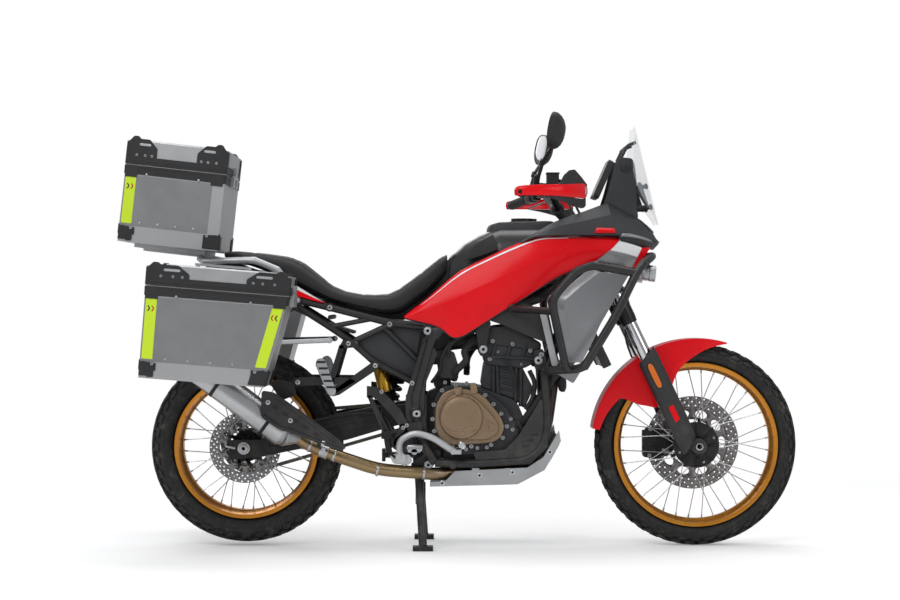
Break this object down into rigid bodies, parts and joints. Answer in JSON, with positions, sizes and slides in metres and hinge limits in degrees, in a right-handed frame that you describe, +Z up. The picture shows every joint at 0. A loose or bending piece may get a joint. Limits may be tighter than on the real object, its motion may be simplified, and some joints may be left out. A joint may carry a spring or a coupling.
{
  "type": "adventure motorcycle",
  "caption": "Adventure touring motorcycle on its centre stand, with crash bars, spoked wheels and hinged aluminium luggage cases; it steers, rolls, and its stands fold.",
  "frame": {"origin": "centre of the bounding box on the floor", "axes": "+X towards the front wheel, +Y to the machine's left, +Z up"},
  "size_m": [2.289, 0.988, 1.4418],
  "materials": {
    "bar_black": "satin black",
    "caliper_black": "anodised black",
    "case_aluminium": "brushed sheet",
    "chain_steel": "oiled",
    "clear_screen": "clear acrylic",
    "control_alloy": "satin",
    "cover_bronze": "bronze anodised",
    "cowl_grey": "fine grained dark grey",
    "display_black": "dark glass",
    "engine_grey": "dark painted castings",
    "fork_steel": "chromed",
    "frame_black": "powder-coated satin black",
    "guard_grey": "dark moulded",
    "hub_black": "black, with steel spokes",
    "lamp_clear": "clear lens over reflector",
    "lamp_silver": "satin",
    "mirror_black": "satin black",
    "muffler_silver": "satin",
    "paint_red": "gloss red paint",
    "pipe_gold": "heat tinted",
    "rack_steel": "silver powder coat",
    "radiator_black": "matte black fins",
    "rim_orange": "orange gold anodised",
    "seat_vinyl": "grained seat cover",
    "shroud_grey": "satin silver grey paint",
    "skid_aluminium": "brushed sheet",
    "tank_black": "satin black",
    "tyre_rubber": "block tread"
  },
  "bodies": {
    "chassis": {"steering_head": "frame_black", "main_frame": "frame_black", "subframe": "frame_black", "engine": "engine_grey", "engine_covers": "cover_bronze", "radiator": "radiator_black", "exhaust_pipe": "pipe_gold", "muffler": "muffler_silver", "swingarm": "bar_black", "rear_caliper": "caliper_black", "rear_shock": "bar_black", "fuel_tank": "tank_black", "side_panels": "paint_red", "front_cowl": "cowl_grey", "shrouds": "shroud_grey", "crash_bars": "frame_black", "fog_lamps": "lamp_silver", "windscreen": "clear_screen", "instrument_display": "display_black", "headlamp": "lamp_clear", "seat": "seat_vinyl", "rear_panels": "cowl_grey", "case_rack": "rack_steel", "skid_plate": "skid_aluminium", "foot_controls": "control_alloy", "drive_chain": "chain_steel", "pannier_right": "case_aluminium", "pannier_left": "case_aluminium", "top_case": "case_aluminium"},
    "steering": {"fork": "fork_steel", "handlebar": "bar_black", "hand_guards": "paint_red", "mirrors": "mirror_black", "front_fender": "paint_red", "fork_guards": "guard_grey", "front_caliper": "caliper_black"},
    "front_wheel": {"front_tyre": "tyre_rubber", "front_rim": "rim_orange", "front_hub": "hub_black"},
    "rear_wheel": {"rear_tyre": "tyre_rubber", "rear_rim": "rim_orange", "rear_hub": "hub_black"},
    "center_stand": {"center_stand": "frame_black"},
    "side_stand": {"side_stand": "frame_black"},
    "pannier_right_lid": {"pannier_right_lid": "case_aluminium"},
    "pannier_left_lid": {"pannier_left_lid": "case_aluminium"},
    "top_case_lid": {"top_case_lid": "case_aluminium"},
    "fuel_cap": {"fuel_cap": "caliper_black"}
  },
  "joints": [
    {"name": "steering_turn", "type": "hinge", "parent": "chassis", "child": "steering", "pos_m": [0.5427, 0, 0.75823], "axis": [-0.4321, 0, 0.9018], "range_deg": [-35, 35]},
    {"name": "front_wheel_spin", "type": "hinge", "parent": "steering", "child": "front_wheel", "pos_m": [0.805, 0, 0.345], "axis": [0, 1, 0], "continuous": true},
    {"name": "rear_wheel_spin", "type": "hinge", "parent": "chassis", "child": "rear_wheel", "pos_m": [-0.726, 0, 0.34], "axis": [0, 1, 0], "continuous": true},
    {"name": "center_stand_fold", "type": "hinge", "parent": "chassis", "child": "center_stand", "pos_m": [-0.14, 0, 0.262], "axis": [0, 1, 0], "range_deg": [0, 78]},
    {"name": "side_stand_fold", "type": "hinge", "parent": "chassis", "child": "side_stand", "pos_m": [-0.024, 0.192, 0.292], "axis": [0, -0.9397, -0.342], "range_deg": [0, 100]},
    {"name": "pannier_right_lid_hinge", "type": "hinge", "parent": "chassis", "child": "pannier_right_lid", "pos_m": [-0.53581, -0.375, 0.84914], "axis": [0, 1, 0], "range_deg": [0, 95]},
    {"name": "pannier_left_lid_hinge", "type": "hinge", "parent": "chassis", "child": "pannier_left_lid", "pos_m": [-0.53581, 0.375, 0.84914], "axis": [0, 1, 0], "range_deg": [0, 95]},
    {"name": "top_case_lid_hinge", "type": "hinge", "parent": "chassis", "child": "top_case_lid", "pos_m": [-0.76972, 0, 1.25443], "axis": [0, 1, 0], "range_deg": [0, 95]},
    {"name": "fuel_cap_hinge", "type": "hinge", "parent": "chassis", "child": "fuel_cap", "pos_m": [0.26, 0, 1.112], "axis": [0, 1, 0], "range_deg": [0, 95]}
  ]
}
